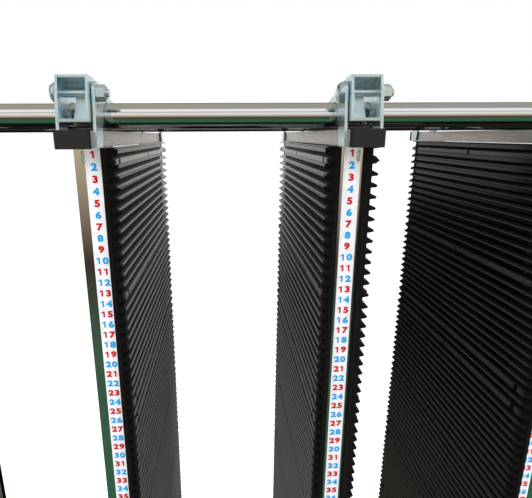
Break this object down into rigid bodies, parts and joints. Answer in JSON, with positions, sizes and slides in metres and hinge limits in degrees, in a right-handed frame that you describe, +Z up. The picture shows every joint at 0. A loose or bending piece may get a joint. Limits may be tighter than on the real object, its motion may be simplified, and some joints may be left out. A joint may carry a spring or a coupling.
{
  "type": "circuit board storage cart",
  "caption": "Wheeled tube-frame cart with black ribbed dividers clamped on round rails, holding circuit boards flat in numbered slots between them.",
  "frame": {"origin": "centre of the footprint on the floor", "axes": "+X along the rails to the right, +Y to the rear, +Z up"},
  "size_m": [1.08, 0.43, 1.2229],
  "materials": {
    "chrome_tube": "bright chrome plate",
    "zinc_plate": "bright zinc plate, slightly blue",
    "bar_steel": "satin plated steel",
    "black_mould": "matte black conductive plastic",
    "cap_black": "grained black plastic",
    "strip_white": "printed white film",
    "wheel_rubber": "black conductive rubber"
  },
  "bodies": {
    "frame": {"base_frame": "chrome_tube", "deck": "bar_steel", "end_frame_left": "chrome_tube", "end_frame_right": "chrome_tube", "rail_top_front": "chrome_tube", "rail_top_rear": "chrome_tube", "rail_bottom_front": "chrome_tube", "rail_bottom_rear": "chrome_tube", "caster_plates": "zinc_plate"},
    "left_divider": {"left_bar": "bar_steel", "left_caps": "cap_black", "left_posts": "chrome_tube", "left_strip": "strip_white", "left_hooks": "zinc_plate", "left_bolts": "zinc_plate", "left_panel_top": "black_mould", "left_panel_mid": "black_mould", "left_panel_low": "black_mould"},
    "left_front_clamp": {"left_lever_front": "zinc_plate"},
    "left_rear_clamp": {"left_lever_rear": "zinc_plate"},
    "middle_divider": {"middle_bar": "bar_steel", "middle_caps": "cap_black", "middle_posts": "chrome_tube", "middle_strip": "strip_white", "middle_hooks": "zinc_plate", "middle_bolts": "zinc_plate", "middle_panel_a_top": "black_mould", "middle_panel_a_mid": "black_mould", "middle_panel_a_low": "black_mould", "middle_panel_b_top": "black_mould", "middle_panel_b_mid": "black_mould", "middle_panel_b_low": "black_mould"},
    "middle_front_clamp": {"middle_lever_front": "zinc_plate"},
    "middle_rear_clamp": {"middle_lever_rear": "zinc_plate"},
    "right_divider": {"right_bar": "bar_steel", "right_caps": "cap_black", "right_posts": "chrome_tube", "right_strip": "strip_white", "right_hooks": "zinc_plate", "right_bolts": "zinc_plate", "right_panel_top": "black_mould", "right_panel_mid": "black_mould", "right_panel_low": "black_mould"},
    "right_front_clamp": {"right_lever_front": "zinc_plate"},
    "right_rear_clamp": {"right_lever_rear": "zinc_plate"},
    "front_left_caster": {"fork_front_left": "zinc_plate", "axle_front_left": "zinc_plate"},
    "front_left_wheel": {"wheel_front_left": "wheel_rubber"},
    "front_brake": {"brake_front": "cap_black"},
    "rear_left_caster": {"fork_rear_left": "zinc_plate", "axle_rear_left": "zinc_plate"},
    "rear_left_wheel": {"wheel_rear_left": "wheel_rubber"},
    "rear_brake": {"brake_rear": "cap_black"},
    "front_right_caster": {"fork_front_right": "zinc_plate", "axle_front_right": "zinc_plate"},
    "front_right_wheel": {"wheel_front_right": "wheel_rubber"},
    "rear_right_caster": {"fork_rear_right": "zinc_plate", "axle_rear_right": "zinc_plate"},
    "rear_right_wheel": {"wheel_rear_right": "wheel_rubber"}
  },
  "joints": [
    {"name": "left_slide", "type": "slide", "parent": "frame", "child": "left_divider", "axis": [1, 0, 0], "range_m": [-0.26, 0.07]},
    {"name": "left_front_clamp_turn", "type": "hinge", "parent": "left_divider", "child": "left_front_clamp", "pos_m": [-0.215, -0.148, 1.1359], "axis": [-1, 0, 0], "range_deg": [0, 50]},
    {"name": "left_rear_clamp_turn", "type": "hinge", "parent": "left_divider", "child": "left_rear_clamp", "pos_m": [-0.215, 0.148, 1.1359], "axis": [1, 0, 0], "range_deg": [0, 50]},
    {"name": "middle_slide", "type": "slide", "parent": "frame", "child": "middle_divider", "axis": [1, 0, 0], "range_m": [-0.07, 0.07]},
    {"name": "middle_front_clamp_turn", "type": "hinge", "parent": "middle_divider", "child": "middle_front_clamp", "pos_m": [0, -0.148, 1.1359], "axis": [-1, 0, 0], "range_deg": [0, 50]},
    {"name": "middle_rear_clamp_turn", "type": "hinge", "parent": "middle_divider", "child": "middle_rear_clamp", "pos_m": [0, 0.148, 1.1359], "axis": [1, 0, 0], "range_deg": [0, 50]},
    {"name": "right_slide", "type": "slide", "parent": "frame", "child": "right_divider", "axis": [1, 0, 0], "range_m": [-0.07, 0.26]},
    {"name": "right_front_clamp_turn", "type": "hinge", "parent": "right_divider", "child": "right_front_clamp", "pos_m": [0.204, -0.148, 1.1359], "axis": [-1, 0, 0], "range_deg": [0, 50]},
    {"name": "right_rear_clamp_turn", "type": "hinge", "parent": "right_divider", "child": "right_rear_clamp", "pos_m": [0.204, 0.148, 1.1359], "axis": [1, 0, 0], "range_deg": [0, 50]},
    {"name": "front_left_swivel", "type": "hinge", "parent": "frame", "child": "front_left_caster", "pos_m": [-0.452, -0.175, 0.12], "axis": [0, 0, 1], "continuous": true},
    {"name": "front_left_roll", "type": "hinge", "parent": "front_left_caster", "child": "front_left_wheel", "pos_m": [-0.422, -0.175, 0.05], "axis": [0, 1, 0], "continuous": true},
    {"name": "front_brake_press", "type": "hinge", "parent": "front_left_caster", "child": "front_brake", "pos_m": [-0.418, -0.175, 0.109], "axis": [0, -1, 0], "range_deg": [0, 20]},
    {"name": "rear_left_swivel", "type": "hinge", "parent": "frame", "child": "rear_left_caster", "pos_m": [-0.452, 0.175, 0.12], "axis": [0, 0, 1], "continuous": true},
    {"name": "rear_left_roll", "type": "hinge", "parent": "rear_left_caster", "child": "rear_left_wheel", "pos_m": [-0.422, 0.175, 0.05], "axis": [0, 1, 0], "continuous": true},
    {"name": "rear_brake_press", "type": "hinge", "parent": "rear_left_caster", "child": "rear_brake", "pos_m": [-0.418, 0.175, 0.109], "axis": [0, -1, 0], "range_deg": [0, 20]},
    {"name": "front_right_swivel", "type": "hinge", "parent": "frame", "child": "front_right_caster", "pos_m": [0.452, -0.175, 0.12], "axis": [0, 0, 1], "continuous": true},
    {"name": "front_right_roll", "type": "hinge", "parent": "front_right_caster", "child": "front_right_wheel", "pos_m": [0.482, -0.175, 0.05], "axis": [0, 1, 0], "continuous": true},
    {"name": "rear_right_swivel", "type": "hinge", "parent": "frame", "child": "rear_right_caster", "pos_m": [0.452, 0.175, 0.12], "axis": [0, 0, 1], "continuous": true},
    {"name": "rear_right_roll", "type": "hinge", "parent": "rear_right_caster", "child": "rear_right_wheel", "pos_m": [0.482, 0.175, 0.05], "axis": [0, 1, 0], "continuous": true}
  ]
}
